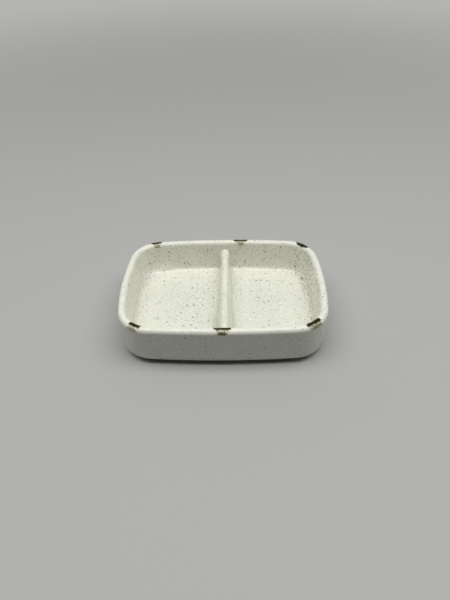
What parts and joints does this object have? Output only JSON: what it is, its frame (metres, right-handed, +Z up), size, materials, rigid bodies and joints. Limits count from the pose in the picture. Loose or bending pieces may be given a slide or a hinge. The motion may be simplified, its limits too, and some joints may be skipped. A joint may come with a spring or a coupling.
{
  "type": "divided dish",
  "caption": "Small low dish with bowed sides, round corners, a low divider across its middle and a foot ring, for keeping sauces or condiments apart.",
  "frame": {"origin": "on the table, under the middle of the dish", "axes": "+X along the length, +Y to the back, +Z up"},
  "size_m": [0.108, 0.0763, 0.0253],
  "materials": {
    "speckled_glaze": "glossy ivory glaze with fine dark iron specks",
    "bare_clay": "wiped bare of glaze, dry and slightly rough",
    "iron_pigment": "glossy dark olive-brown brush dab, fused into the glaze"
  },
  "bodies": {
    "root": {"dish_shell": "speckled_glaze", "divider": "speckled_glaze", "foot_ring": "bare_clay", "rim_mark_back_left": "iron_pigment", "rim_mark_back_middle": "iron_pigment", "rim_mark_back_right": "iron_pigment", "rim_mark_front_left": "iron_pigment", "rim_mark_front_middle": "iron_pigment", "rim_mark_front_right": "iron_pigment"}
  },
  "joints": []
}
